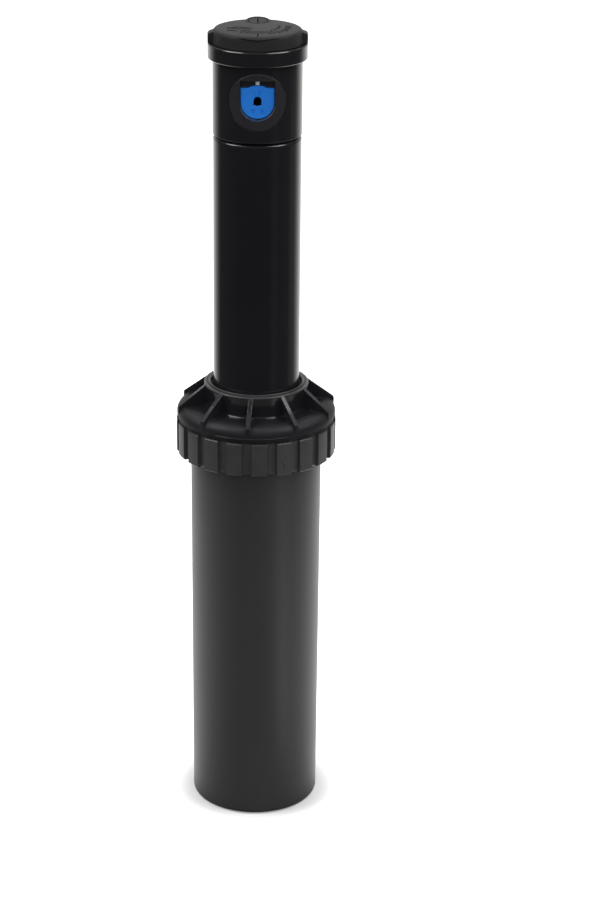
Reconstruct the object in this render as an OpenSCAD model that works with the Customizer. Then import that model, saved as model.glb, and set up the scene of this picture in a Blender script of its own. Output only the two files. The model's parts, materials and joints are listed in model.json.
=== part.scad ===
// Pop-up gear-drive rotor sprinkler with a half-inch bottom inlet.
// Millimetres, +Z up, origin at the centre of the base, nozzle facing -Y.
// The riser is drawn at the top of its stroke.
// Heights are given for the shortest stroke; lift and top_lift are added for longer ones.

/* [Stroke] */
// How far the riser travels between parked and popped up
stroke = 111.9; // [111.9:0.1:150]

/* [Case] */
// Outer radius of the case under the cap
case_r = 22.55; // [22.3:0.05:22.6]
// Inner radius of the case
case_bore_r = 20.4; // [20.35:0.05:20.7]
// Wall radius of the threaded inlet, drawn as a plain bore
inlet_r = 9.15; // [8.8:0.05:9.6]
// Height of the inlet boss inside the case
inlet_h = 16; // [12:0.5:16]
// Number of inner guide ribs that key the riser
guide_ribs = 6; // [4:1:8]

/* [Cap] */
// Pitch of the cap thread
thread_pitch = 3; // [2.8:0.1:3.2]
// Number of raised grip pads round the skirt
pad_count = 20; // [12:1:24]
// Angle that one grip pad covers, in degrees
pad_angle = 11.2; // [8:0.1:12]
// How far a grip pad stands out of the skirt
pad_depth = 1.18; // [0.6:0.02:1.4]
// Number of gusset ribs between collar and shoulder
gusset_count = 10; // [6:1:12]
// Thickness of one gusset rib
gusset_t = 1.5; // [1.2:0.05:2]

/* [Turret] */
// Outer radius of the turret
turret_r = 14.87; // [14.8:0.01:14.9]
// Radius of the round nozzle face
face_r = 9.35; // [9.2:0.05:9.6]
// Elevation of the nozzle in degrees
nozzle_tilt = 25; // [20:1:26]

/* [Gearing] */
// Module of the reduction gears
gear_m = 0.46; // [0.44:0.01:0.46]
// Thinning of each tooth flank for backlash
flank_gap = 0.04; // [0.03:0.005:0.05]

/* [Hidden] */
$fn = 96;
extra = stroke - 111.9;    // extra length of longer versions
lift = extra;              // what the cap and the riser foot rise by
top_lift = 2 * extra;      // what the turret rises by

black = [0.07, 0.07, 0.08];
charcoal = [0.11, 0.11, 0.12];
grey = [0.25, 0.25, 0.26];
steel = [0.72, 0.73, 0.75];
ivory = [0.86, 0.84, 0.78];
rubber = [0.14, 0.14, 0.14];
blue = [0.12, 0.42, 0.80];
brass = [0.78, 0.60, 0.25];

// ---------- shared shapes ----------

// Points of a circular arc in a profile
function arc_pts(x, y, radius, from, to, steps = 6) =
    [for (i = [0:steps]) let(angle = from + (to - from) * i / steps)
        [x + radius * cos(angle), y + radius * sin(angle)]];

module raise(z) translate([0, 0, z]) children();

// Copies evenly spaced over a span of degrees
module around(count, start = 0, span = 360)
    for (i = [0:count - 1]) rotate([0, 0, start + i * span / count]) children();

// Upright cylinder standing at height z
module disc(radius, z, height, x = 0, y = 0)
    translate([x, y, z]) cylinder(r = radius, h = height);

// Block of [length, width, height] that starts at x, z and is centred on y = 0
module bar(x, z, size) translate([x, -size[1] / 2, z]) cube(size);

// Ring of rectangular section
module ring(outer, inner, bottom, top) raise(bottom) difference() {
    cylinder(r = outer, h = top - bottom);
    disc(inner, -1, top - bottom + 2);
}

// Part turn of a profile drawn in radius and height
module sector(from, to, profile)
    rotate([0, 0, from]) rotate_extrude(angle = to - from) polygon(profile);

// A section swept along a right-hand helix; section is [radius, height] points
module helix(section, pitch, bottom, turns, start, steps_per_turn) {
    sides = len(section);
    steps = ceil(turns * steps_per_turn);
    points = [for (i = [0:steps])
        let(angle = start + 360 * turns * i / steps, z = bottom + pitch * turns * i / steps)
        for (p = section) [p[0] * cos(angle), p[0] * sin(angle), z + p[1]]];
    walls = [for (i = [0:steps - 1]) for (j = [0:sides - 1])
        let(here = i * sides, above = (i + 1) * sides, next = (j + 1) % sides)
        each [[here + j, here + next, above + j], [here + next, above + next, above + j]]];
    ends = [[for (j = [sides - 1:-1:0]) j], [for (j = [0:sides - 1]) steps * sides + j]];
    polyhedron(points = points, faces = concat(walls, ends), convexity = 8);
}

// Coil of round wire
module coil(mid_r, wire_r, pitch, bottom, turns, steps_per_turn, sides)
    helix([for (j = [0:sides - 1]) let(angle = 360 * j / sides)
            [mid_r + wire_r * cos(angle), wire_r * sin(angle)]],
        pitch, bottom, turns, 0, steps_per_turn);

// ---------- gear teeth ----------

pressure_angle = 25;
flank_steps = 3;
short_tooth = 0.8;         // pitch circle to tip of an outer gear, in modules
long_tooth = 1.05;         // pitch circle to root of an outer gear, in modules

// Involute function in degrees
function involute(angle) = tan(angle) * 180 / PI - angle;

// Outline of a spur gear; its flanks are moved in by thinning, out if negative
function gear_pts(teeth, gear_module, thinning,
        addendum = short_tooth, dedendum = long_tooth) =
    let(pitch_r = teeth * gear_module / 2,
        base_r = pitch_r * cos(pressure_angle),
        tip_r = pitch_r + addendum * gear_module,
        root_r = pitch_r - dedendum * gear_module,
        half_base = 90 / teeth - thinning / pitch_r * 180 / PI + involute(pressure_angle),
        start_r = max(base_r, root_r),
        // one flank as [radius, half angle of the tooth], root to tip
        flank = concat(root_r < base_r ? [[root_r, half_base]] : [],
            [for (k = [0:flank_steps])
                let(radius = start_r + (tip_r - start_r) * k / flank_steps)
                [radius, half_base - involute(acos(min(1, base_r / radius)))]]),
        last = len(flank) - 1)
    [for (tooth = [0:teeth - 1]) let(middle = tooth * 360 / teeth) each concat(
        [for (k = [0:last]) flank_pt(flank[k], middle, -1)],
        [for (k = [last:-1:0]) flank_pt(flank[k], middle, 1)])];

function flank_pt(point, middle, side) =
    let(angle = middle + side * point[1]) [point[0] * cos(angle), point[0] * sin(angle)];

// ---------- case ----------

case_h = 145.6 + lift;
case_floor = 3.4;
rim_r = 22.5;
rim_chamfer = 0.4;
rib_start = 30;            // angle of the first guide rib and riser slot
case_thread_z = 135;
cap_thread_z = 134.4;
thread_steps = 40;
// half heights of the thread section
thread_root = 0.85;
thread_crest = 0.4;

module case_body() color(charcoal) difference() {
    union() {
        rotate_extrude() polygon(concat([[0, 0]],
            arc_pts(20.62, 1.6, 1.6, -90, 0),
            [[case_r, 131.8 + lift], [rim_r, 132.6 + lift], [rim_r, case_h - rim_chamfer],
             [rim_r - rim_chamfer, case_h], [0, case_h]]));
        helix([[22.1, -thread_root], [23.85, -thread_crest],
               [23.85, thread_crest], [22.1, thread_root]],
            thread_pitch, case_thread_z + lift, 3.1, 0, thread_steps);
    }
    // hollow, leaving the inlet boss, its webs and the guide ribs
    difference() {
        disc(case_bore_r, case_floor, case_h);
        cylinder(r = 13.2, h = inlet_h);
        around(6) bar(12, 0, [9, 1.6, 9]);
        around(guide_ribs, rib_start) bar(19.6, 0, [2, 1.4, 137 + lift]);
    }
    // inlet bore with a lead-in at each end
    disc(inlet_r, -1, inlet_h + 2);
    raise(-0.01) cylinder(r1 = inlet_r + 1, r2 = inlet_r, h = 1);
    raise(inlet_h - 0.6) cylinder(r1 = inlet_r, r2 = inlet_r + 0.6, h = 0.61);
    // ribbed recess round the inlet
    difference() {
        ring(19.2, 13.9, -1, 1.5);
        around(12, 15) bar(13, -2, [7, 1.4, 5]);
    }
}

// ---------- cap and seal group ----------

skirt_r = 26.3;
pad_r = skirt_r + pad_depth;
// start angle that puts the cap thread midway between the case's turns
cap_thread_start = 360 * ((cap_thread_z - case_thread_z) / thread_pitch + 0.5);
retainer_r = 15.2;         // bore of the seal retainer
collar_r = 16.4;           // outside of the retainer's neck and of the seal

// Half section of the cap, [radius, height]: skirt, shoulder, collar and lip
cap_profile = concat(
    [[15.5, 148.1], [22.75, 148.1], [22.75, 146.8], [24.15, 145.4], [24.15, 133.1],
     [24.4, 132.8], [26.0, 132.8], [skirt_r, 133.1], [skirt_r, 144.2], [26.85, 144.5],
     [26.85, 145.6], [27.3, 146.05], [27.3, 146.5]],
    arc_pts(24.3, 146.75, 3.0, 8, 82, 7),
    arc_pts(18.5, 150.85, 0.85, -90, -180, 4),
    [[17.7, 154.4], [17.93, 156.9]],
    arc_pts(17.58, 157.15, 0.35, 0, 90, 3),
    [[17.1, 157.5], [16.9, 157.2], [16.7, 157.25], [16.55, 157.9]],
    arc_pts(16.35, 157.85, 0.2, 30, 150, 3),
    [[15.75, 157.75], [15.5, 157.4]]);

// Section of a grip pad, [radius, height]
pad_profile = [[25.4, 132.6], [pad_r - 0.35, 132.6], [pad_r, 132.95],
    [pad_r, 143.95], [pad_r - 0.4, 144.35], [25.4, 144.35]];

// Side of a gusset rib, [radius, height]
gusset_profile = [[17.0, 149.4], [17.0, 155], [17.7, 157.3], [26.9, 150.1],
    [27.25, 149.85], [27.35, 149.5], [27.35, 147], [26.6, 145.9], [25.4, 146.2],
    [24.2, 148.4], [22.3, 149.3]];

// Section of the wiper seal, [radius, height], with its lip at the top
wiper_profile = [[15.25, 151.95], [collar_r, 151.95], [collar_r, 155.5], [15.4, 155.5],
    [15.4, 156.4], [15.2, 156.9], [14.95, 156.95], [14.9, 156.7], [15.1, 155.6],
    [15.25, 155.0]];

module body_cap() color(black) raise(lift) difference() {
    union() {
        rotate_extrude() polygon(cap_profile);
        around(pad_count, -87.7) sector(-pad_angle / 2, pad_angle / 2, pad_profile);
        around(gusset_count, -96) translate([0, gusset_t / 2, 0]) rotate([90, 0, 0])
            linear_extrude(gusset_t) polygon(gusset_profile);
        helix([[22.9, thread_crest], [22.9, -thread_crest],
               [24.9, -thread_root], [24.9, thread_root]],
            thread_pitch, cap_thread_z, 2.7, cap_thread_start, thread_steps);
    }
    // room for the seal and the riser
    disc(16.5, 147, 8.6);
}

module cap_gasket() color(rubber) raise(lift) ring(22.1, 20.5, 145.65, 146.55);

module seal_retainer() color(grey) raise(lift) difference() {
    union() {
        ring(22.6, retainer_r, 146.6, 148.0);
        ring(collar_r, retainer_r, 147.9, 151.9);
        ring(20.25, 18.5, 141.5, 146.7);
    }
    around(4, 45) bar(18, 140, [4, 6, 4]);
}

module wiper_seal() color(rubber) raise(lift) rotate_extrude() polygon(wiper_profile);

module spring_seat() color(steel) raise(lift) ring(18.2, 15.3, 145.1, 146.55);

module retract_spring() color(steel) raise(lift) coil(16.5, 0.6, 1.27, 133.3, 8.8, 36, 8);

// ---------- riser ----------

riser_bore_r = 12.5;
insert_r = riser_bore_r - 0.05;   // parts fitted in the riser
riser_edge = 0.93;                // rounding of the riser's top edge
riser_edge_z = 243.0;
riser_top_z = riser_edge_z + riser_edge;
screen_bore_r = 9.4;

// trip rod linkage
rod_r = 11.2;                     // distance of the trip rod from the axis
rod_wire_r = 0.55;
rod_hole_r = rod_wire_r + 0.06;
rod_grip_r = rod_wire_r + 0.02;
trip_a = 15;                      // trip lever angle either side of centre
lever_l = 3.2;
crank_l = 4.4;
// angle that the crank turns the port selector through
selector_a = atan2(crank_l * sin(trip_a), rod_r - crank_l * cos(trip_a));

// ports of the selector and the stator
port_count = 6;
port_start = 30;
port_x = 8.8;

module riser_tube() color(black) raise(lift) difference() {
    rotate_extrude() polygon(concat(
        [[riser_bore_r, 129.5], [18.6, 129.5], [18.6, 126.8], [18.9, 126.5],
         [19.7, 126.5], [20.0, 126.8], [20.0, 132.2], [19.7, 132.5], [15.6, 132.5],
         [14.72, 133.4], [14.72, riser_edge_z + extra]],
        arc_pts(14.72 - riser_edge, riser_edge_z + extra, riser_edge, 0, 80),
        [[riser_bore_r, riser_top_z + extra]]));
    around(guide_ribs, rib_start) bar(19.1, 120, [3, 2.2, 20]);
}

module filter_screen() color(grey) raise(lift) difference() {
    union() {
        ring(insert_r, screen_bore_r, 129.6, 131.2);
        disc(11.5, 131.1, 18);
    }
    disc(10.5, 131, 17);
    disc(screen_bore_r, 129, 10);
    // three rows of slots, each bar cutting both sides
    around(12, span = 180) for (row = [0:2]) bar(-15, 132.6 + row * 5, [30, 1.0, 4.2]);
}

module port_selector() color(ivory) raise(lift) rotate([0, 0, selector_a]) difference() {
    disc(11.9, 151.3, 1.6);
    disc(5.2, 150, 5);
    around(port_count, port_start) disc(1.25, 150, 5, port_x);
    bar(6.0, 150, [2.1, 1.5, 5]);
    // curved notch that clears the trip rod
    raise(150) rotate([0, 0, -16]) rotate_extrude(angle = 32)
        translate([10.2, 0]) square([3, 5]);
}

module stator_plate() color(grey) raise(lift) difference() {
    union() {
        disc(insert_r, 153, 3);
        disc(5.1, 150.9, 3);
    }
    disc(3.4, 150, 8);
    disc(rod_hole_r, 150, 8, rod_r);
    // pairs of jets that slant opposite ways
    for (side = [-1, 1]) around(port_count, port_start + side * selector_a)
        translate([port_x, 0, 153]) rotate([side * 30, 0, 0]) disc(1.0, -3, 9);
}

module bypass_poppet() color(ivory) raise(lift) {
    disc(4.2, 156.06, 1.1);
    disc(0.8, 157, 4.6);
    disc(1.2, 152.6, 3.6);
}

module bypass_spring() color(steel) raise(lift) coil(1.6, 0.22, 0.78, 157.45, 4, 20, 6);

module bypass_guide() color(grey) raise(lift) difference() {
    union() {
        ring(insert_r, 11.4, 156.1, 164);
        disc(2.8, 160.9, 6.6);
        around(3, 60) bar(0, 161, [12, 1.6, 3]);
    }
    disc(0.86, 160, 4.4);
    disc(1.75, 165.1, 3);
    disc(1.0, 150, 20, rod_r);
}

// ---------- turbine ----------

shaft_r = 1.0;
shaft_grip_r = shaft_r + 0.02;    // bore fixed on the shaft
shaft_run_r = shaft_r + 0.06;     // bore that the shaft turns in
blade_bottom = 168.4;
blade_top = 172.8;

module shaft_bush() color(brass) raise(lift) ring(1.72, shaft_r + 0.05, 165.15, 167.5);

module turbine_wheel() color(ivory) raise(lift) difference() {
    union() {
        disc(3.2, 168.0, 5.2);
        ring(9.6, 8.9, blade_bottom, blade_top);
        // slanted blades between hub and rim
        intersection() {
            ring(9.2, 3.0, blade_bottom, blade_top);
            around(10) translate([2.8, 0, (blade_bottom + blade_top) / 2])
                rotate([38, 0, 0]) bar(0, -4, [6.6, 0.8, 8]);
        }
    }
    disc(shaft_grip_r, 160, 20);
}

module turbine_shaft() color(steel) disc(shaft_r, 165.3 + lift, 20.1);

// ---------- planetary reduction ----------

pinion_teeth = 12;                // suns and planets
ring_teeth = 3 * pinion_teeth;
planet_x = pinion_teeth * gear_m; // sun to planet centre distance
gearbox_r = 10.2;
housing_z = 178;
lid_z = 206;
carrier_r = 7.1;
carrier_rise = 5.3;               // carrier plate above the bottom of its planets
pin_r = 0.7;
pin_grip_r = pin_r + 0.02;
output_r = 2.6;

// Bottom of the planets of a stage, counted from 0
function stage_z(level) = 179 + level * 8;

module pinion(height)
    linear_extrude(height) polygon(gear_pts(pinion_teeth, gear_m, flank_gap));

module sun_gear() color(ivory) raise(178.6 + lift) difference() {
    pinion(5.6);
    disc(shaft_grip_r, -1, 10);
}

module gearbox_base() color(grey) raise(lift) difference() {
    union() {
        disc(gearbox_r, 174.6, housing_z - 174.6);
        disc(7.4, 177, 1.3);
    }
    disc(shaft_run_r, 170, 20);
    disc(2.6, 174, 2.2);
}

module gearbox_seal() color(rubber) raise(lift) ring(2.55, shaft_run_r, 174.65, 176.1);

module gear_housing() color(grey) raise(lift) difference() {
    union() {
        disc(gearbox_r, housing_z, lid_z - housing_z);
        around(3, 60) bar(9, 196, [3.42, 1.8, 9]);
    }
    // inner teeth, cut by a gear with tip and root swapped
    raise(170) rotate([0, 0, 180 / ring_teeth]) linear_extrude(40)
        polygon(gear_pts(ring_teeth, gear_m, -flank_gap, long_tooth, short_tooth));
}

module gearbox_lid() color(grey) raise(lift) ring(gearbox_r, output_r + 0.06, lid_z, 208.4);

// Each planet is turned half a tooth to mesh with its sun
module planet(level, i) color(ivory) raise(stage_z(level) + lift)
    rotate([0, 0, 120 * i]) translate([planet_x, 0, 0])
    rotate([0, 0, 180 / pinion_teeth - 120 * i]) difference() {
        pinion(5);
        disc(pin_r + 0.05, -1, 7);
    }

module planet_pins(level) color(steel)
    around(3) disc(pin_r, stage_z(level) + 0.05 + lift, 6.8, planet_x);

module planet_1a() planet(0, 0);
module planet_1b() planet(0, 1);
module planet_1c() planet(0, 2);
module planet_2a() planet(1, 0);
module planet_2b() planet(1, 1);
module planet_2c() planet(1, 2);
module planet_3a() planet(2, 0);
module planet_3b() planet(2, 1);
module planet_3c() planet(2, 2);
module planet_pins_1() planet_pins(0);
module planet_pins_2() planet_pins(1);
module planet_pins_3() planet_pins(2);

// Carrier plate over one stage, with the next stage's sun on top
module carrier(level) color(ivory) raise(stage_z(level) + carrier_rise + lift) difference() {
    union() {
        cylinder(r = carrier_r, h = 2.0);
        raise(1.9) pinion(6.0);
        if (level > 0) disc(2, -0.1, 1);
    }
    disc(shaft_run_r, -1, 2.3);
    around(3) disc(pin_grip_r, -1, 4, planet_x);
}

module carrier_1() carrier(0);
module carrier_2() carrier(1);

module output_carrier() color(ivory) raise(lift) difference() {
    union() {
        disc(carrier_r, stage_z(2) + carrier_rise, 2.2);
        disc(output_r, 202.4, 11);
    }
    around(3) disc(pin_grip_r, 199, 3, planet_x);
}

// ---------- hollow drive shaft and its bearing ----------

hollow_r = 5.2;

module hollow_shaft() color(grey) difference() {
    union() {
        disc(hollow_r, 210.5 + lift, 43 + extra);
        disc(6.6, 244.46 + top_lift, 1.9);
    }
    disc(3.6, 217 + lift, 50 + extra);
    disc(output_r + 0.04, 209 + lift, 5);
    around(2, span = 180) bar(-8, 218 + lift, [16, 3.2, 8]);
}

module shaft_clip() color(steel) raise(top_lift) difference() {
    ring(7.2, hollow_r + 0.02, 230.6, 231.8);
    bar(0, 230, [10, 3, 3]);
}

module riser_bearing() color(grey) raise(top_lift) difference() {
    disc(insert_r, 232, 11.9);
    disc(hollow_r + 0.07, 230, 20);
    disc(7.4, 241.5, 5);
    disc(rod_hole_r, 230, 20, rod_r);
    ring(10.0, 7.6, 230, 239.5);
}

module turret_seal() color(rubber) raise(top_lift) ring(7.35, hollow_r + 0.1, 241.55, 243.8);

module thrust_washers() color(ivory) raise(top_lift)
    for (bottom = [riser_top_z, 244.2]) ring(8.8, hollow_r + 0.2, bottom, bottom + 0.22);

// ---------- reversing linkage ----------

lever_t = 1.05;
crank_t = 1.5;

// arc setting gears, ring and pinion
arc_m = 0.4;
arc_gap = 0.05;
arc_ring_teeth = 31;
arc_pinion_teeth = 10;
arc_y = (arc_ring_teeth + arc_pinion_teeth) * arc_m / 2;
arc_shaft_r = 1.2;

module trip_rod() color(steel) disc(rod_wire_r, 149.5 + lift, 96.4 + extra, rod_r);

// Arm fixed on the trip rod, drawn along +X
module trip_arm(z) translate([rod_r, 0, z]) rotate([0, 0, 180 - trip_a]) difference() {
    union() children();
    disc(rod_grip_r, -1, 4);
}

// Trip tab of rectangular section, reaching up from its lower edge
module trip_tab(inner, outer, top)
    sector(10, 15, [[inner, 244.9], [outer, 244.9], [outer, top], [inner, top]]);

module trip_lever() color(ivory) trip_arm(244.95 + top_lift) {
    cylinder(r = 1.1, h = lever_t);
    bar(0, 0, [lever_l - 0.3, 0.9, lever_t]);
    disc(0.45, 0, lever_t, lever_l - 0.35);
}

module trip_crank() color(ivory) trip_arm(149.4 + lift) {
    cylinder(r = 1.15, h = crank_t);
    bar(0, 0, [crank_l, 1.2, crank_t]);
    disc(0.6, 0, 3.3, crank_l);
}

module trip_spring() color(steel) translate([rod_r, 0, top_lift])
    coil(0.95, 0.18, 0.45, 227.2, 9, 16, 6);

module arc_ring() color(ivory) raise(top_lift) difference() {
    union() {
        disc(8.9, 246.6, 0.8);
        raise(247.3) linear_extrude(2.25) rotate([0, 0, 90 + 180 / arc_ring_teeth])
            polygon(gear_pts(arc_ring_teeth, arc_m, arc_gap));
        trip_tab(7.3, 8.9, 247);
    }
    disc(hollow_r + 0.15, 240, 20);
}

module arc_shaft() color(ivory) translate([0, arc_y, top_lift]) difference() {
    union() {
        raise(247.5) rotate([0, 0, -90]) linear_extrude(2.05)
            polygon(gear_pts(arc_pinion_teeth, arc_m, arc_gap));
        disc(arc_shaft_r, 249.5, 22);
        disc(2.6, 270.9, 3.7);
    }
    bar(-0.5, 272.4, [1, 3.8, 4]);
}

// ---------- turret ----------

nozzle_y = -11.75;                // front plane of the nozzle
nozzle_z = 258.0;                 // height of the orifice
face_z = 267.6 - face_r;          // centre of the round nozzle face
core_r = 12.5;
core_z = 249.8;
screw_y = -12.6;
screw_r = 0.7;
orifice_r = 1.3;

// Arched outline of the nozzle window, flat at the top and round at the bottom
module window_2d(half_width, top, bottom) {
    translate([-half_width, bottom + half_width])
        square([2 * half_width, top - bottom - half_width]);
    translate([0, bottom + half_width]) circle(r = half_width);
}

// Something drawn in the X-Z plane, given depth in Y
module upright(front, back)
    translate([0, back, 0]) rotate([90, 0, 0]) linear_extrude(back - front) children();

// Cylinder or cone on the inclined nozzle axis, measured inwards from the nozzle's face
module on_axis(radius, from, to, end_radius = undef)
    translate([0, nozzle_y, nozzle_z]) rotate([-90 - nozzle_tilt, 0, 0]) raise(from)
        cylinder(r1 = radius, r2 = is_undef(end_radius) ? radius : end_radius, h = to - from);

// Holes for the radius screw and the arc shaft
module adjuster_holes(screw_from, arc_from) {
    disc(screw_r + 0.08, screw_from, 30, y = screw_y);
    disc(arc_shaft_r + 0.06, arc_from, 30, y = arc_y);
}

module turret_core() color(charcoal) raise(top_lift) difference() {
    union() {
        disc(core_r, core_z, 1.6);
        disc(6.7, core_z, 13);
        disc(core_r, 262, 1.6);
        // barrel round the nozzle bore
        intersection() {
            translate([-8, -14, core_z]) cube([16, 14, 13]);
            disc(14, 240, 30);
            on_axis(5.6, -3, 14);
        }
        // round nozzle face
        intersection() {
            disc(turret_r - 0.05, 240, 30);
            upright(-16, -9.9) translate([0, face_z]) circle(r = face_r);
        }
        // fixed trip tab
        trip_tab(9.1, 10.1, 250.5);
    }
    disc(hollow_r + 0.05, 240, 13.6);
    disc(4.2, 240, 18);
    on_axis(4.05, 0, 6.6);
    on_axis(3.4, 0, 12.5);
    upright(-20, -10.5) window_2d(5.65, 265.3, 252.15);
    adjuster_holes(250, 240);
}

// Half section of the turret shell, [radius, height]: wall, flange and top
head_profile = [[12.6, 244.45], [14.54, 244.45], [turret_r, 244.8], [turret_r, 269.7],
    [15.1, 269.9], [16.16, 269.9], [16.46, 270.2], [16.46, 274.6], [16.2, 274.9],
    [0, 274.9], [0, 270.5], [12.6, 270.5]];

module turret_head() color(black) raise(top_lift) difference() {
    rotate_extrude() polygon(head_profile);
    upright(-20, -8) translate([0, face_z]) circle(r = face_r + 0.07);
    adjuster_holes(260, 260);
    disc(1.2, 268.1, 30, y = screw_y);
    disc(2.7, 270.8, 30, y = arc_y);
}

module nozzle() color(blue) raise(top_lift) difference() {
    union() {
        upright(nozzle_y, -10.6) window_2d(5.5, 262.4, 252.3);
        intersection() {
            on_axis(4.0, 0.6, 6.5);
            translate([-8, -11.3, 249]) cube([16, 12, 20]);
        }
        // pull tab above the orifice
        upright(nozzle_y - 0.35, nozzle_y + 0.2) {
            translate([-0.9, 259.9]) square([1.8, 2.2]);
            translate([-1.8, 261.3]) square([3.6, 0.8]);
        }
    }
    // groove that the radius screw runs down
    disc(screw_r + 0.12, 259, 5, y = screw_y);
    on_axis(orifice_r, -2, 3);
    on_axis(orifice_r, 1.5, 6.6, 3.0);
    // arched recess in front of the orifice
    upright(nozzle_y - 1, nozzle_y + 0.6) {
        translate([-orifice_r, 256.75]) square([2 * orifice_r, 1.6]);
        translate([0, 258.3]) circle(r = orifice_r);
    }
    // two small rectangular recesses below it
    upright(nozzle_y - 1, nozzle_y + 0.5)
        for (side = [-1, 1]) translate([side * 1.5 - 0.45, 253.9]) square([0.9, 1.5]);
}

module radius_screw() color(steel) translate([0, screw_y, top_lift]) difference() {
    union() {
        disc(screw_r, 263.8, 9.6);
        disc(1.1, 273.3, 1.4);
    }
    bar(-2, 274.1, [4, 0.4, 2]);
}

// ---------- turret cover ----------

// Half section of the cover, [radius, height]
cover_profile = concat(
    [[0, 274.95], [14.7, 274.95], [14.85, 275.1], [14.75, 278.2]],
    arc_pts(13.4, 278.35, 1.32, 5, 78),
    [[12.4, 279.78], [8, 280.0], [0, 280.1]]);

// Section of a side grip lug, [radius, height]
lug_profile = [[13.5, 275.0], [16.3, 275.0], [16.45, 275.2], [16.45, 277.8],
    [16.2, 278.2], [14.4, 278.9], [13.5, 278.9]];

// Outline of the pointer seen from above, [x, y]
pointer_outline = [[-7, -12.5], [0, -14.5], [7, -12.5], [5.5, -8], [-5.5, -8]];

// Frame on the sloping top of the arc socket's boss
module on_boss() translate([0, arc_y + 0.1, 280.25]) rotate([8, 0, 0]) children();

// Slit through the cover, running back from y
module slit(y, length) translate([-0.2, y, 270]) cube([0.4, length, 20]);

module turret_cover() color(rubber) raise(top_lift) difference() {
    union() {
        rotate_extrude() polygon(cover_profile);
        for (angle = [0, 180]) sector(angle - 9, angle + 9, lug_profile);
        // sloping boss round the arc socket
        intersection() {
            on_boss() raise(-2) cylinder(r1 = 6.6, r2 = 4.0, h = 2);
            disc(13.6, 277, 6);
        }
        // pointer over the nozzle, with a sloping top
        difference() {
            raise(277.4) linear_extrude(4) polygon(pointer_outline);
            translate([0, -9, 280.0]) rotate([18, 0, 0])
                translate([-10, -10, 0]) cube([20, 14, 5]);
        }
    }
    on_boss() ring(3.4, 3.05, -0.35, 2);
    slit(arc_y - 2.2, 4.4);
    slit(screw_y - 0.6, 2.6);
}

case_body();
body_cap();
cap_gasket();
seal_retainer();
wiper_seal();
spring_seat();
retract_spring();
riser_tube();
filter_screen();
port_selector();
stator_plate();
bypass_poppet();
bypass_spring();
bypass_guide();
shaft_bush();
turbine_wheel();
turbine_shaft();
sun_gear();
gearbox_base();
gearbox_seal();
gear_housing();
gearbox_lid();
planet_1a();
planet_1b();
planet_1c();
planet_pins_1();
carrier_1();
planet_2a();
planet_2b();
planet_2c();
planet_pins_2();
carrier_2();
planet_3a();
planet_3b();
planet_3c();
planet_pins_3();
output_carrier();
hollow_shaft();
shaft_clip();
riser_bearing();
turret_seal();
thrust_washers();
trip_rod();
trip_lever();
trip_crank();
trip_spring();
arc_ring();
arc_shaft();
turret_core();
turret_head();
nozzle();
radius_screw();
turret_cover();
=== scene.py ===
# A pop-up sprinkler, raised. It stands upright on the floor with its axis on Z, and the
# round face with the blue nozzle looks to the front, along -Y.
# Meshes are laid out in millimetres. Shaders, stage and camera are in metres.
import bpy
import bmesh
import json
import math
import numpy as np
from mathutils import Matrix, Vector


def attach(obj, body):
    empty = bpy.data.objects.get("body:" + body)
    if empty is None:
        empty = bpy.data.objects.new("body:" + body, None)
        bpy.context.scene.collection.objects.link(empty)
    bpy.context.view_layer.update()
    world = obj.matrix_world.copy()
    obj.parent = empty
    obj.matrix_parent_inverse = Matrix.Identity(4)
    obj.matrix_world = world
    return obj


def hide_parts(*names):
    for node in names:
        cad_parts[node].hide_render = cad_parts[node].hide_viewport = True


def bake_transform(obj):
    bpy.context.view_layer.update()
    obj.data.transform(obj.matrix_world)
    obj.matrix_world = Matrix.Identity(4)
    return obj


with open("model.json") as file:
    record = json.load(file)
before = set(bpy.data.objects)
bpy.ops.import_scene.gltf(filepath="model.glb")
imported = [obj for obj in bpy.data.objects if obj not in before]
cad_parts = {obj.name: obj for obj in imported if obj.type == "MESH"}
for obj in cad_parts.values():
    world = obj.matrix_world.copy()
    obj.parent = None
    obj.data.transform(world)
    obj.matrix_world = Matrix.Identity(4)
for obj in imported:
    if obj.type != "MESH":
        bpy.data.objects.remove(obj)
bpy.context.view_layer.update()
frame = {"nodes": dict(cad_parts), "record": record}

NODES = frame["nodes"]
MM = 0.001
TAU = 2 * math.pi


# ------------------------------------------------------------- mesh helpers

def link(obj):
    bpy.context.scene.collection.objects.link(obj)
    return obj


def mesh_object(name, verts, faces):
    """Smooth-shaded object from vertices in millimetres."""
    mesh = bpy.data.meshes.new(name)
    mesh.from_pydata([tuple(c * MM for c in vert) for vert in verts], [], faces)
    mesh.validate()
    mesh.update()
    mesh.polygons.foreach_set("use_smooth", [True] * len(mesh.polygons))
    return link(bpy.data.objects.new(name, mesh))


def skin(rings, sides, ends="open", round_section=True, flip=False, start=0):
    """Faces over rings of vertices. The ends are open, capped or joined to each other;
    start is the index of the first vertex."""
    faces = []
    for i in range(rings if ends == "joined" else rings - 1):
        here = start + i * sides
        there = start + (i + 1) % rings * sides
        for j in range(sides if round_section else sides - 1):
            k = (j + 1) % sides
            quad = (here + j, there + j, there + k, here + k)
            faces.append(quad[:1] + quad[:0:-1] if flip else quad)
    if ends == "capped":
        first = tuple(range(start, start + sides))
        last = tuple(v + (rings - 1) * sides for v in first)
        faces.append(first[::-1] if flip else first)
        faces.append(last if flip else last[::-1])
    return faces


def sharpen(obj, limit_deg):
    """Breaks the smooth shading at open edges and at those sharper than the limit."""
    bm = bmesh.new()
    bm.from_mesh(obj.data)
    limit = math.radians(limit_deg)
    for edge in bm.edges:
        edge.smooth = not (len(edge.link_faces) == 2 and edge.calc_face_angle(0) > limit)
    bm.to_mesh(obj.data)
    bm.free()


def give(obj, body, shader):
    obj.data.materials.append(shader.owner)
    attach(obj, body)


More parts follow.
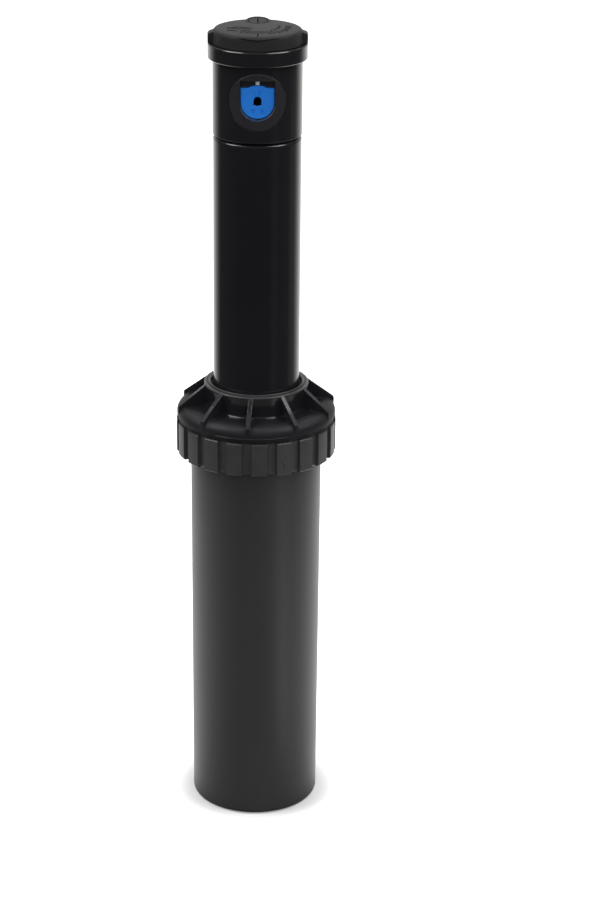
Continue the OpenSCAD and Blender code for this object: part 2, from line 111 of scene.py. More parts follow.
def polar(radius, degrees):
    angle = math.radians(degrees)
    return radius * math.cos(angle), radius * math.sin(angle)


def degree_steps(first, last, steps):
    return [first + (last - first) * i / steps for i in range(steps + 1)]


def direction_at(path, i):
    return (path[min(i + 1, len(path) - 1)] - path[max(i - 1, 0)]).normalized()


# ----------------------------------------------------------- shader helpers

def rgba(value):
    """Opaque colour from an RGB tuple or a grey level."""
    return (*value, 1) if isinstance(value, tuple) else (value, value, value, 1)


def tint(colour, by=1.0, plus=0.0):
    return tuple(min(1, c * by + plus) for c in colour)


class Shader:
    """Node tree of a material or world. Inputs take sockets or plain values; in keyword
    names an underscore stands for a space."""

    def __init__(self, owner, output_kind):
        owner.use_nodes = True
        self.owner = owner
        self.tree = owner.node_tree
        self.tree.nodes.clear()
        self.output = self.node(output_kind)

    def feed(self, socket, value):
        if isinstance(value, bpy.types.NodeSocket):
            self.tree.links.new(value, socket)
        else:
            socket.default_value = value

    def set(self, node, **inputs):
        for name, value in inputs.items():
            self.feed(node.inputs[name.replace("_", " ")], value)

    def node(self, kind, **inputs):
        made = self.tree.nodes.new(kind)
        self.set(made, **inputs)
        return made

    def source(self, name):
        """The socket that now feeds an input of the surface."""
        return self.surface.inputs[name].links[0].from_socket

    def math(self, operation, *values, clamp=False):
        made = self.node("ShaderNodeMath")
        made.operation = operation
        made.use_clamp = clamp
        for i, value in enumerate((*values, 0.0, 0.0)[:3]):
            self.feed(made.inputs[i], value)
        return made.outputs[0]

    def times(self, value, by):
        return self.math("MULTIPLY", value, by)

    def times_plus(self, value, by, plus):
        return self.math("MULTIPLY_ADD", value, by, plus)

    def inverse(self, share):
        return self.math("SUBTRACT", 1.0, share)

    def length(self, x, y):
        return self.math("SQRT", self.math("ADD", self.times(x, x), self.times(y, y)))

    def map_range(self, value, between, to=(0.0, 1.0), kind="LINEAR"):
        made = self.node("ShaderNodeMapRange")
        made.interpolation_type = kind
        for i, number in enumerate((value, *between, *to)):
            self.feed(made.inputs[i], number)
        return made.outputs[0]

    def smooth(self, value, between, to=(0.0, 1.0)):
        return self.map_range(value, between, to, kind="SMOOTHSTEP")

    def ramp(self, value, between, to=(0.0, 1.0)):
        """Two-stop colour ramp."""
        made = self.node("ShaderNodeValToRGB")
        for stop, position, colour in zip(made.color_ramp.elements, between, to):
            stop.position = position
            stop.color = rgba(colour)
        self.feed(made.inputs[0], value)
        return made.outputs[0]

    def mix(self, share, base, over):
        made = self.node("ShaderNodeMix")
        made.data_type = "RGBA"
        self.feed(made.inputs[0], share)
        self.feed(made.inputs[6], base)
        self.feed(made.inputs[7], rgba(over) if isinstance(over, tuple) else over)
        return made.outputs[2]

    def mix_shader(self, share, first, second):
        made = self.node("ShaderNodeMixShader")
        for i, value in enumerate((share, first, second)):
            self.feed(made.inputs[i], value)
        return made.outputs[0]

    def coords(self, stretch=(1, 1, 1)):
        place = self.node("ShaderNodeTexCoord").outputs["Object"]
        return self.node("ShaderNodeMapping", Vector=place, Scale=stretch).outputs["Vector"]

    def split(self, vector):
        return self.node("ShaderNodeSeparateXYZ", Vector=vector).outputs

    def axes(self, space="Object"):
        return self.split(self.node("ShaderNodeTexCoord").outputs[space])

    def noise(self, vector, **settings):
        return self.node("ShaderNodeTexNoise", Vector=vector, **settings).outputs[0]

    def bump(self, height, **settings):
        return self.node("ShaderNodeBump", Height=height, **settings).outputs[0]

    def bevel(self, radius):
        made = self.node("ShaderNodeBevel", Radius=radius)
        made.samples = 6
        return made.outputs[0]


def surface_shader(name):
    shader = Shader(bpy.data.materials.new(name), "ShaderNodeOutputMaterial")
    shader.surface = shader.node("ShaderNodeBsdfPrincipled")
    shader.feed(shader.output.inputs[0], shader.surface.outputs[0])
    return shader


# ---------------------------------------------------------------- materials

def plastic(name, colour, rough, vary=0.05, mottle=0.12, skin_bump=0.2, scuff=0.0,
            subsurface=0.0, edge=0.0002):
    """Moulded plastic: slow mottling, flow streaks, a fine skin, faint scuffs and softened
    edges. vary is the spread of the roughness, edge the radius of the softening."""
    shader = surface_shader(name)
    place = shader.coords()
    slow = shader.noise(place, Scale=38.0, Detail=5.0, Roughness=0.6)
    streak = shader.noise(shader.coords(stretch=(40, 40, 6)),
                          Scale=1.0, Detail=4.0, Roughness=0.55)
    fine = shader.noise(place, Scale=3120.0, Detail=3.0, Roughness=0.55)
    cells = shader.node("ShaderNodeTexVoronoi", Vector=place, Scale=2080.0)
    cells.feature = "SMOOTH_F1"

    shade = shader.ramp(slow, between=(0.3, 0.7),
                        to=(tint(colour, by=1 - mottle), tint(colour, by=1 + mottle)))
    streak_share = shader.times(shader.ramp(streak, between=(0.4, 0.75)), by=0.25)
    shade = shader.mix(streak_share, shade, tint(colour, by=1.5, plus=0.004))

    roughness = shader.times_plus(shader.ramp(slow, between=(0.25, 0.8)),
                                  by=vary, plus=rough - vary / 2)
    roughness = shader.times_plus(shader.ramp(streak, between=(0.35, 0.7)),
                                  by=vary, plus=roughness)
    if scuff:
        scratch = shader.noise(shader.coords(stretch=(900, 900, 90)),
                               Scale=1.0, Detail=6.0, Roughness=0.75, Distortion=0.6)
        worn = shader.ramp(scratch, between=(0.66, 0.74))
        roughness = shader.times_plus(worn, by=scuff, plus=roughness)
        shade = shader.mix(shader.times(worn, by=scuff * 0.5), shade, tint(colour, plus=0.03))

    height = shader.math("ADD", shader.times(fine, by=0.7),
                         shader.times(cells.outputs[0], by=0.3))
    wave = shader.bump(slow, Strength=0.06, Distance=0.0002, Normal=shader.bevel(edge))
    normal = shader.bump(height, Strength=skin_bump, Distance=0.00002, Normal=wave)
    shader.set(shader.surface, Base_Color=shade, Roughness=roughness, Normal=normal,
               IOR=1.49, Coat_Roughness=0.1)
    if subsurface:
        shader.set(shader.surface, Subsurface_Weight=subsurface,
                   Subsurface_Radius=(0.4, 0.8, 1.6), Subsurface_Scale=0.0008)
    return shader


def rubber(name, colour, rough):
    """Matt rubber: blotches, pale dust and a two-scale grain."""
    shader = surface_shader(name)
    place = shader.coords()
    blotch = shader.noise(place, Scale=60.0, Detail=6.0, Roughness=0.65)
    fine = shader.noise(place, Scale=2600.0, Detail=3.0, Roughness=0.6)
    speck = shader.noise(place, Scale=420.0, Detail=4.0, Roughness=0.6)
    shade = shader.ramp(blotch, between=(0.3, 0.72),
                        to=(tint(colour, by=0.8), tint(colour, by=1.22, plus=0.004)))
    dust = shader.times(shader.ramp(speck, between=(0.56, 0.8)), by=0.22)
    shade = shader.mix(dust, shade, tint(colour, by=1.6, plus=0.015))
    coarse = shader.bump(speck, Strength=0.12, Distance=0.00012,
                         Normal=shader.bevel(radius=0.00025))
    shader.set(shader.surface, Base_Color=shade,
               Roughness=shader.times_plus(blotch, by=0.16, plus=rough - 0.08),
               Specular_IOR_Level=0.14, Sheen_Weight=0.02, Sheen_Roughness=0.5,
               Normal=shader.bump(fine, Strength=0.35, Distance=0.00003, Normal=coarse))
    return shader


def metal(name, colour, rough, metallic=1.0):
    """Metal brushed along Z."""
    shader = surface_shader(name)
    brushed = shader.noise(shader.coords(stretch=(1500, 1500, 60)),
                           Scale=1.0, Detail=4.0, Roughness=0.6)
    slow = shader.noise(shader.coords(), Scale=120.0, Detail=3.0)
    shader.set(shader.surface, Metallic=metallic,
               Base_Color=shader.ramp(slow, between=(0.3, 0.7),
                                      to=(tint(colour, by=0.86), colour)),
               Roughness=shader.times_plus(brushed, by=0.2, plus=rough - 0.1),
               Normal=shader.bump(brushed, Strength=0.15, Distance=0.00002))
    return shader


# Where the finish of the cap changes: radii from the axis over which each zone fades in,
# and heights of the tops of the grip skirt and the lip.
SKIRT_RADII = (0.02605, 0.0262)
SHOULDER_RADII = (0.0215, 0.0240)
OUTSIDE_LIP_RADII = (0.0179, 0.0181)
SKIRT_TOP = 0.14405
LIP_TOP = 0.15695
HEIGHT_FADE = 0.0001


def finish_cap(shader, colour, rough):
    """Gives the skirt and lip of the cap a paler, finely sparked finish and the shoulder a
    satin one; the neck keeps its gloss."""
    def outside(radii):
        x, y, z = shader.axes()
        return shader.map_range(shader.length(x, y), between=radii), z

    def below(top):
        return shader.map_range(height, between=(top, top + HEIGHT_FADE), to=(1.0, 0.0))

    on_skirt, height = outside(SKIRT_RADII)
    on_shoulder = outside(SHOULDER_RADII)[0]
    satin = shader.times(on_shoulder, shader.inverse(below(SKIRT_TOP)))
    satin_rough = shader.times_plus(satin, by=0.34, plus=shader.source("Roughness"))
    specular = shader.times_plus(satin, by=-0.26, plus=0.5)

    inside_lip = shader.inverse(outside(OUTSIDE_LIP_RADII)[0])
    lip = shader.times(inside_lip, shader.inverse(below(LIP_TOP)))
    pale = shader.math("ADD", shader.times(on_skirt, below(SKIRT_TOP)),
                       shader.times(lip, by=0.8), clamp=True)
    spark = shader.noise(shader.coords(), Scale=300.0, Detail=5.0, Roughness=0.7)
    sparked = shader.ramp(spark, between=(0.3, 0.7),
                          to=(tint(colour, by=0.85), tint(colour, by=1.15)))
    roughness = shader.math("ADD", shader.times(pale, by=rough),
                            shader.times(shader.inverse(pale), satin_rough))
    shader.set(shader.surface, Specular_IOR_Level=specular, Roughness=roughness,
               Base_Color=shader.mix(pale, shader.source("Base Color"), sparked))


# Box round the arched recess and bore of the nozzle.
RECESS_HALF_WIDTH = 0.00132
RECESS_FRONT = -0.01172
RECESS_FOOT = 0.2567
RECESS_TOP = 0.25965


def darken_recess(shader):
    """Darkens the recess and bore of the nozzle, which hardly any light reaches."""
    x, y, z = shader.axes()
    inside = shader.math("LESS_THAN", shader.math("ABSOLUTE", x), RECESS_HALF_WIDTH)
    for test, axis, limit in (("GREATER_THAN", y, RECESS_FRONT),
                              ("GREATER_THAN", z, RECESS_FOOT),
                              ("LESS_THAN", z, RECESS_TOP)):
        inside = shader.times(inside, shader.math(test, axis, limit))
    dark = (0.001, 0.003, 0.012)
    shader.set(shader.surface,
               Base_Color=shader.mix(shader.times(inside, by=0.96),
                                     shader.source("Base Color"), dark),
               Specular_IOR_Level=shader.times_plus(inside, by=-0.45, plus=0.5))


CASE = plastic("case_satin", colour=(0.0262, 0.0253, 0.0264), rough=0.37, mottle=0.05,
               skin_bump=0.12, scuff=0.06)
CAP = plastic("cap_black", colour=(0.0090, 0.0090, 0.0105), rough=0.17, mottle=0.1,
              skin_bump=0.06, scuff=0.04, edge=0.0003)
finish_cap(CAP, colour=(0.034, 0.0335, 0.0355), rough=0.40)
RISER = plastic("riser_gloss", colour=(0.0100, 0.0100, 0.0115), rough=0.12, vary=0.03,
                mottle=0.06, skin_bump=0.03, scuff=0.03, edge=0.0003)
TURRET = plastic("turret_gloss", colour=(0.0105, 0.0105, 0.0120), rough=0.15, vary=0.04,
                 mottle=0.06, skin_bump=0.04, scuff=0.03, edge=0.00025)
HOUSING = plastic("housing_satin", colour=(0.020, 0.020, 0.0225), rough=0.3, mottle=0.1,
                  skin_bump=0.1, scuff=0.05, edge=0.0003)
BLUE = plastic("nozzle_blue", colour=(0.024, 0.225, 0.80), rough=0.33, vary=0.06,
               mottle=0.08, skin_bump=0.1, subsurface=0.1)
darken_recess(BLUE)

COVER_COLOUR = (0.0180, 0.0175, 0.0183)
COVER = rubber("cover_rubber", colour=COVER_COLOUR, rough=0.6)
# Darker copy of the cover rubber for the raised marks: painted shade round the low ridges.
COVER_MARK_SHADED = rubber("cover_mark", colour=tint(COVER_COLOUR, by=0.35), rough=0.6)
# Near-black rubber for lines of painted shade: under the pointer edge and in the socket
# groove.
COVER_SHADE_LINE = rubber("cover_painted_shade_line", colour=(0.0012, 0.0012, 0.0014), rough=0.8)
SEAL = rubber("seal_rubber", colour=(0.012, 0.012, 0.012), rough=0.55)

# Pale plastic for beads on the turret face edges: its colour is a painted highlight.
PAINTED_EDGE_HIGHLIGHT = plastic("edge_painted_highlight", colour=(0.060, 0.060, 0.064), rough=0.34, mottle=0.1,
               skin_bump=0.06)
# Paler cap plastic for the shoulder bead: its colour is a painted highlight on the edge.
CAP_PAINTED_EDGE_HIGHLIGHT = plastic("cap_edge_painted_highlight", colour=(0.030, 0.030, 0.033), rough=0.2, vary=0.04,
                   mottle=0.1, skin_bump=0.04)
GREY = plastic("inner_grey", colour=(0.045, 0.045, 0.048), rough=0.42, vary=0.06)
IVORY = plastic("acetal_ivory", colour=(0.62, 0.58, 0.47), rough=0.36, vary=0.06,
                mottle=0.05, subsurface=0.1)
BRASS = metal("bush_brass", colour=(0.78, 0.56, 0.24), rough=0.3)
STEEL = metal("steel", colour=(0.62, 0.62, 0.63), rough=0.3)
ZINC = metal("plated_screw", colour=(0.82, 0.82, 0.84), rough=0.4, metallic=0.3)

SLOT_SHADERS = {
    "case_plastic": CASE, "cap_plastic": CAP, "riser_plastic": RISER,
    "housing_plastic": HOUSING, "blue_plastic": BLUE, "cover_rubber": COVER,
    "seal_rubber": SEAL, "grey_plastic": GREY, "ivory_plastic": IVORY,
    "bush_brass": BRASS, "steel": STEEL,
}


def paint_cad_parts():
    for subpart in frame["record"]["subparts"]:
        materials = NODES[subpart["node"]].data.materials
        materials.clear()
        materials.append(SLOT_SHADERS[subpart["material_slot"]].owner)
    NODES["turret_head"].data.materials[0] = TURRET.owner
    NODES["radius_screw"].data.materials[0] = ZINC.owner


# ------------------------------------------------------------------ springs

END_TURNS = 0.6     # turns spent closing up the two ends together


def spring(name, replaces, mid_radius, wire_radius, foot, top, turns, segments, sides):
    """Round-wire coil with its end turns flattened against their seats, built from foot
    to top in place of a CAD part; the heights are in millimetres."""
    steps = int(turns * segments)
    span = top - foot - 2 * wire_radius
    verts, climbs = [], []
    for i in range(steps + 1):
        turn = i / steps * turns
        climb = min(max((turn - END_TURNS * 0.5) / (turns - END_TURNS), 0), 1)
        z = foot + wire_radius + span * climb
        angle = TAU * turn
        for j in range(sides):
            around = TAU * j / sides
            radius = mid_radius + wire_radius * math.cos(around)
            verts.append((radius * math.cos(angle), radius * math.sin(angle),
                          z + wire_radius * math.sin(around)))
            climbs.append(climb)
    obj = mesh_object(name, verts, skin(steps + 1, sides, ends="capped"))
    obj.data.materials.append(STEEL.owner)
    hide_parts(replaces)
    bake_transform(obj)


def springs():
    spring("retract_coil", "retract_spring", mid_radius=16.5, wire_radius=0.6,
           foot=132.55, top=145.05, turns=9.4, segments=64, sides=14)
    spring("bypass_coil", "bypass_spring", mid_radius=1.6, wire_radius=0.22,
           foot=157.2, top=160.85, turns=4.6, segments=40, sides=10)


# -------------------------------------------------------------- cover marks

# Crown of the rubber cover: radius from the axis and height there.
COVER_RADII = [0, 8, 12.4, 13.6]
COVER_HEIGHTS = [280.1, 280.0, 279.78, 279.3]

# Section of a ridge: place across as a share of its width, and height over the cover.
RIDGE_HEIGHT = 0.16
RIDGE_SINK = 0.25
RIDGE_SHOULDER = RIDGE_HEIGHT * 0.55
RIDGE_SECTION = [(-0.5, -RIDGE_SINK), (-0.5, RIDGE_SHOULDER), (-0.3, RIDGE_HEIGHT),
                 (0.3, RIDGE_HEIGHT), (0.5, RIDGE_SHOULDER), (0.5, -RIDGE_SINK)]

# Two-way direction mark, on the left: width, steps per stretch, corners (x, y).
DIRECTION_LINES = [
    (0.70, 8, [(-10.0, -1.7), (-5.9, -0.6), (-1.9, -2.6)]),
    (0.60, 8, [(-10.0, -1.7), (-6.1, -3.6), (-1.9, -2.6)]),
    (0.50, 8, [(-6.0, -0.9), (-6.1, -3.4)]),
    (0.45, 6, [(-9.9, -4.9), (-6.6, -6.4)]),
    (0.45, 6, [(-5.6, -6.6), (-2.6, -5.6)]),
]

# Rows of radial ticks, at the front and right: count, first angle and pitch in degrees,
# inner radius, outer radii of even and odd ticks, width.
TICK_ROWS = [
    (9, -68, 9.5, 9.0, (11.2, 10.6), 0.42),
    (6, -52, 12.5, 6.6, (7.4, 7.4), 0.50),
    (7, -124, 7.0, 9.1, (9.9, 9.9), 0.40),
]
TICK_STEPS = 3


def cover_z(x, y):
    return float(np.interp(math.hypot(x, y), COVER_RADII, COVER_HEIGHTS))


def polyline(corners, steps):
    points = [corners[0]]
    for a, b in zip(corners, corners[1:]):
        points += [(a[0] + (b[0] - a[0]) * i / steps, a[1] + (b[1] - a[1]) * i / steps)
                   for i in range(1, steps + 1)]
    return points


def cover_ridges(name, lines):
    """Low ridges that follow the crown of the cover, all in one object. Their darker
    rubber is painted shade round the real ridges.
    """
    verts, faces = [], []
    for width, steps, corners in lines:
        path = [Vector((x, y, 0)) for x, y in polyline(corners, steps)]
        faces += skin(len(path), len(RIDGE_SECTION), ends="capped", start=len(verts))
        for i, point in enumerate(path):
            along = direction_at(path, i)
            side = Vector((-along.y, along.x, 0))
            for across, height in RIDGE_SECTION:
                vert = point + side * across * width
                verts.append((vert.x, vert.y, cover_z(vert.x, vert.y) + height))
    obj = mesh_object(name, verts, faces)
    sharpen(obj, limit_deg=50)
    give(obj, "turret", COVER_MARK_SHADED)


def cover_marks():
    cover_ridges("cover_direction_mark", DIRECTION_LINES)
    ticks = []
    for count, first, pitch, inner, outers, width in TICK_ROWS:
        for i in range(count):
            angle = first + i * pitch
            ends = [polar(inner, angle), polar(outers[i % 2], angle)]
            ticks.append((width, TICK_STEPS, ends))
    cover_ridges("cover_scale_marks", ticks)


# ---------------------------------------------------------- beads and lines

BEAD_SIDES = 8
BEAD_REFERENCE = Vector((0.13, 1, 0.07))    # sets how the bead's section is turned


def bead(name, points, radius):
    """Thin round bead along a path, tapered at both ends."""
    path = [Vector(p) for p in points]
    count = len(path)
    verts = []
    for i, point in enumerate(path):
        along = direction_at(path, i)
        side = along.cross(BEAD_REFERENCE).normalized()
        other = along.cross(side)
        taper = max(0.08, min(1.0, 6.0 * i / count, 6.0 * (count - 1 - i) / count))
        reach = radius * taper
        for j in range(BEAD_SIDES):
            around = TAU * j / BEAD_SIDES
            vert = point + (side * math.cos(around) + other * math.sin(around)) * reach
            verts.append(tuple(vert))
    return mesh_object(name, verts, skin(count, BEAD_SIDES, ends="capped", flip=True))


def chevron_line():
    """Dark line round the front of the cover, dipping to a point over the nozzle: painted
    shade under the edge of the pointer.
    """
    points = []
    for azimuth in degree_steps(-120, -60, 48):
        dip = 1 - abs(azimuth + 90) / 30    # 0 at the ends, 1 at the point
        x, y = polar(14.52 + 0.23 * dip, azimuth)
        points.append((x, y, 279.09 - 0.58 * dip ** 1.25))
    give(bead("cover_chevron_shade_line", points, radius=0.2), "turret", COVER_SHADE_LINE)


SOCKET_Y = 8.4              # centre of the arc socket
SOCKET_Z = 280.25
SOCKET_TILT = math.radians(8)
RING_RADIUS = 3.25
RING_SINK = 0.08
RING_HALF_WIDTH = 0.26
RING_HALF_HEIGHT = 0.19
RING_SEGMENTS = 72
RING_SIDES = 10


def socket_ring():
    """Dark tilted ring round the arc socket, kept from sinking under the cover: painted shade
    in the groove round the socket.
    """
    up = Vector((0, -math.sin(SOCKET_TILT), math.cos(SOCKET_TILT)))
    verts = []
    for i in range(RING_SEGMENTS):
        angle = TAU * i / RING_SEGMENTS
        x = RING_RADIUS * math.cos(angle)
        y = SOCKET_Y + RING_RADIUS * math.sin(angle) * math.cos(SOCKET_TILT)
        tilted = SOCKET_Z + (y - SOCKET_Y) * math.tan(SOCKET_TILT)
        centre = Vector((x, y, max(tilted, cover_z(x, y)) - RING_SINK))
        out = Vector((centre.x, centre.y - SOCKET_Y, 0)).normalized()
        for j in range(RING_SIDES):
            around = TAU * j / RING_SIDES
            verts.append(tuple(centre + out * RING_HALF_WIDTH * math.cos(around)
                               + up * RING_HALF_HEIGHT * math.sin(around)))
    faces = skin(RING_SEGMENTS, RING_SIDES, ends="joined")
    give(mesh_object("socket_ring_shade_line", verts, faces), "turret", COVER_SHADE_LINE)


TURRET_RADIUS = 14.83

# Arcs on the front of the turret, pale beads whose colour is a painted edge highlight:
# name, arc radius, centre height, first and last angle, bead radius.
FACE_BEADS = [
    ("face_edge_top_highlight", 9.32, 267.6 - 9.35, 28, 152, 0.11),
    ("window_edge_left_highlight", 5.72, 257.8, 188, 244, 0.13),
    ("window_edge_right_highlight", 5.72, 257.8, 296, 352, 0.13),
]


def face_edges():
    """Upper edge of the round nozzle face and the lower edges of its window, as pale
    beads whose colour is a painted highlight.
    """
    for name, arc_radius, centre_z, first, last, radius in FACE_BEADS:
        points = []
        for degrees in degree_steps(first, last, 40):
            x, rise = polar(arc_radius, degrees)
            points.append((x, -math.sqrt(TURRET_RADIUS * TURRET_RADIUS - x * x),
                           centre_z + rise))
        give(bead(name, points, radius), "turret", PAINTED_EDGE_HIGHLIGHT)


def shoulder_edge():
    """Pale bead along the front of the cap's shoulder; its colour is a painted highlight."""
    points = [(*polar(27.24, degrees), 146.12) for degrees in degree_steps(-127, -61, 60)]
    give(bead("shoulder_highlight_bead", points, radius=0.13), "cap", CAP_PAINTED_EDGE_HIGHLIGHT)


# ------------------------------------------------------ gate marks, thread

PAD_ANGLE = math.radians(-69.0)
PAD_RADIUS = 27.46
GATE_SEGMENTS = 28

# name, height of the centre, radius, how far it stands out
GATE_MARKS = [("pad_gate_stub", 136.6, 0.46, 0.30), ("pad_ejector_mark", 135.1, 0.34, 0.12)]


def gate_marks():
    """Moulding gate stub and ejector mark on one grip pad."""
    for name, z, radius, height in GATE_MARKS:
        profile = [(radius * 1.15, -0.12), (radius, 0.0), (radius * 0.9, height * 0.7),
                   (radius * 0.62, height), (radius * 0.2, height * 1.04),
                   (0.001, height * 1.05)]
        verts = []
        for i in range(GATE_SEGMENTS):
            angle = TAU * i / GATE_SEGMENTS
            verts += [(r * math.cos(angle), r * math.sin(angle), h) for r, h in profile]
        faces = skin(GATE_SEGMENTS, len(profile), ends="joined", round_section=False)
        obj = mesh_object(name, verts, faces)
        place = Vector((PAD_RADIUS * math.cos(PAD_ANGLE), PAD_RADIUS * math.sin(PAD_ANGLE), z))
        obj.data.transform(Matrix.Translation(place * MM) @ Matrix.Rotation(PAD_ANGLE, 4, "Z")
                           @ Matrix.Rotation(math.pi / 2, 4, "Y"))
        give(obj, "cap", CAP)


THREAD_PITCH = 1.814        # 14 to the inch
THREAD_START = 1.3
THREAD_TURNS = 7.1
THREAD_SEGMENTS = 72        # per turn
THREAD_RUNOUT = THREAD_SEGMENTS * 0.35
THREAD_ROOT = 9.22

# Section of the thread: radius, height from the crest.
THREAD_SECTION = [(THREAD_ROOT, -0.80), (8.50, -0.12), (8.44, 0.0), (8.50, 0.12),
                  (THREAD_ROOT, 0.80)]


def inlet_thread():
    """Female half-inch pipe thread in the inlet, fading out at both ends."""
    steps = int(THREAD_TURNS * THREAD_SEGMENTS)
    verts = []
    for i in range(steps + 1):
        angle = TAU * i / THREAD_SEGMENTS
        fade = min(1.0, i / THREAD_RUNOUT, (steps - i) / THREAD_RUNOUT)
        for radius, height in THREAD_SECTION:
            r = THREAD_ROOT - (THREAD_ROOT - radius) * fade
            z = THREAD_START + THREAD_PITCH * i / THREAD_SEGMENTS + height
            verts.append((r * math.cos(angle), r * math.sin(angle), z))
    faces = skin(steps + 1, len(THREAD_SECTION), round_section=False, flip=True)
    give(mesh_object("inlet_thread", verts, faces), "case", CASE)


# -------------------------------------------------------------------- stage

FLOOR_CORNERS = [(-1.1, -0.9, 0), (1.1, -0.9, 0), (1.1, 1.6, 0), (-1.1, 1.6, 0)]
FLOOR_DROP = 0.00005
FLOOR_ALBEDO = 0.6


def floor_reflection(shader, x, y, radius):
    """Brightness that reflections find on the floor: high near and behind the part, dim
    in front."""
    def over_radius(axis):
        return shader.math("DIVIDE", axis, shader.math("MAXIMUM", radius, 0.001))

    backward = over_radius(y)    # 1 straight behind, -1 straight in front
    back = shader.smooth(backward, between=(0.30, 0.95), to=(0.0, 1.6))
    near = shader.smooth(radius, between=(0.27, 0.38), to=(1.0, 0.05))
    around = shader.smooth(backward, between=(-1.0, 0.60), to=(0.30, 1.5))
    rightward = over_radius(x)

    # A narrow bright strip to the front right, seen low on the part.
    strip = shader.times(shader.smooth(rightward, between=(0.54, 0.68)),
                         shader.smooth(rightward, between=(0.76, 0.88), to=(1.0, 0.0)))
    strip = shader.times(strip, shader.smooth(backward, between=(-0.2, 0.2), to=(1.0, 0.3)))
    strip = shader.times(strip, near)
    strip = shader.times(strip, shader.smooth(radius, between=(0.035, 0.13)))
    # A pale patch to the right, seen higher up.
    patch = shader.times(shader.smooth(backward, between=(-0.02, 0.16)),
                         shader.smooth(rightward, between=(0.3, 0.6)))

    glow = shader.math("MAXIMUM", shader.times(around, near), back)
    glow = shader.times_plus(strip, by=1.25, plus=glow)
    glow = shader.times_plus(patch, by=0.16, plus=glow)
    glow = shader.times(glow, shader.smooth(radius, between=(0.018, 0.032), to=(0.5, 1.0)))
    return shader.times(glow, by=0.9)


def stage_floor():
    """Pale one-sided floor, clear from below. The camera sees it white outside the
    contact shadow."""
    mesh = bpy.data.meshes.new("floor")
    mesh.from_pydata(FLOOR_CORNERS, [], [(0, 1, 2, 3)])
    obj = link(bpy.data.objects.new("floor", mesh))
    obj.location.z = -FLOOR_DROP

    shader = surface_shader("floor_pale")
    cloud = shader.noise(shader.coords(), Scale=3.0, Detail=2.0)
    albedo = shader.ramp(cloud, between=(0.3, 0.7), to=(FLOOR_ALBEDO, FLOOR_ALBEDO * 1.015))
    shader.set(shader.surface, Base_Color=albedo, Roughness=0.75)

    geometry = shader.node("ShaderNodeNewGeometry")
    x, y, z = shader.split(geometry.outputs["Position"])
    radius = shader.length(x, y)
    reflected = shader.node("ShaderNodeEmission",
                            Strength=floor_reflection(shader, x, y, radius))
    camera_glow = shader.smooth(radius, between=(0.0225, 0.036), to=(0.17, 0.9))
    glowing = shader.node("ShaderNodeEmission", Strength=camera_glow)
    seen = shader.node("ShaderNodeAddShader")
    shader.feed(seen.inputs[0], shader.surface.outputs[0])
    shader.feed(seen.inputs[1], glowing.outputs[0])
    camera_ray = shader.node("ShaderNodeLightPath").outputs["Is Camera Ray"]
    top = shader.mix_shader(camera_ray, reflected.outputs[0], seen.outputs[0])
    clear = shader.node("ShaderNodeBsdfTransparent").outputs[0]
    shader.feed(shader.output.inputs[0],
                shader.mix_shader(geometry.outputs["Backfacing"], top, clear))
    obj.data.materials.append(shader.owner)


def studio_world():
    """White to the camera; lights the part from behind, above and below."""
    world = bpy.data.worlds.new("studio")
    bpy.context.scene.world = world
    shader = Shader(world, "ShaderNodeOutputWorld")
    white = shader.node("ShaderNodeBackground", Color=(1, 1, 1, 1), Strength=1.2)
    x, y, z = shader.axes("Generated")
    behind = shader.smooth(y, between=(0.35, 0.92), to=(0.0, 1.25))
    above = shader.smooth(z, between=(-0.05, 0.5), to=(0.03, 0.20))
    below = shader.smooth(z, between=(-0.9, -0.3), to=(0.4, 0.0))
    strength = shader.math("ADD", shader.math("MAXIMUM", behind, above), below)
    studio = shader.node("ShaderNodeBackground", Strength=strength)
    camera_ray = shader.node("ShaderNodeLightPath").outputs["Is Camera Ray"]
    shader.feed(shader.output.inputs[0],
                shader.mix_shader(camera_ray, studio.outputs[0], white.outputs[0]))


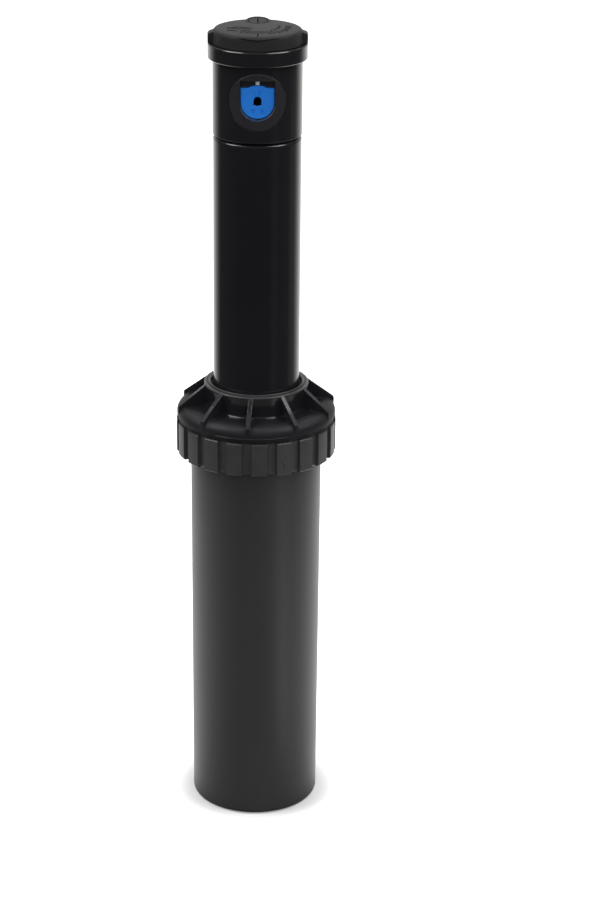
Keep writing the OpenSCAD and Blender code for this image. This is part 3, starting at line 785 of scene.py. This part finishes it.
def softbox(name, place, size, power, target=(0, 0, 0.15)):
    light = bpy.data.lights.new(name, "AREA")
    light.shape = "RECTANGLE"
    light.size, light.size_y = size
    light.energy = power
    obj = link(bpy.data.objects.new(name, light))
    obj.location = place
    aim = Vector(target) - Vector(place)
    obj.rotation_euler = aim.to_track_quat("-Z", "Y").to_euler()
    obj.visible_camera = False
    return obj


def lights():
    softbox("key_left", place=(-0.78, -0.08, 1.15), size=(0.55, 0.8), power=12.0)
    softbox("key_right", place=(0.70, -0.18, 1.18), size=(0.55, 0.8), power=11.0)
    softbox("top_back", place=(0.0, 0.75, 1.1), size=(1.2, 0.4), power=2.5)
    fill = softbox("front_fill", place=(0.05, -1.3, 0.75), size=(1.2, 0.9), power=12.0,
                   target=(0, 0, 0.2))
    fill.visible_glossy = False


CAMERA_PLACE = (0, -0.82058, 0.45660)
CAMERA_YAW = math.radians(-1.0697)
CAMERA_DIP = math.radians(21.856)
CAMERA_ROLL = math.radians(0.6370)


def camera():
    """Camera in front of the part, looking slightly down on it."""
    data = bpy.data.cameras.new("camera")
    obj = link(bpy.data.objects.new("camera", data))
    cos_yaw, sin_yaw = math.cos(CAMERA_YAW), math.sin(CAMERA_YAW)
    cos_dip, sin_dip = math.cos(CAMERA_DIP), math.sin(CAMERA_DIP)
    cos_roll, sin_roll = math.cos(CAMERA_ROLL), math.sin(CAMERA_ROLL)
    right = Vector((cos_yaw, sin_yaw, 0))
    forward = Vector((-sin_yaw * cos_dip, cos_yaw * cos_dip, -sin_dip))
    up = Vector((-sin_yaw * sin_dip, cos_yaw * sin_dip, cos_dip))
    turned = Matrix((cos_roll * right + sin_roll * up, -sin_roll * right + cos_roll * up,
                     -forward)).transposed().to_4x4()
    turned.translation = Vector(CAMERA_PLACE)
    obj.matrix_world = turned
    data.sensor_width = 36
    data.lens = 99.015
    data.clip_start = 0.01
    bpy.context.scene.camera = obj


paint_cad_parts()
springs()
cover_marks()
chevron_line()
socket_ring()
face_edges()
shoulder_edge()
gate_marks()
inlet_thread()
stage_floor()
studio_world()
lights()
camera()

scene = bpy.context.scene
scene.view_settings.view_transform = "Standard"
scene.view_settings.look = "None"
scene.cycles.use_denoising = True
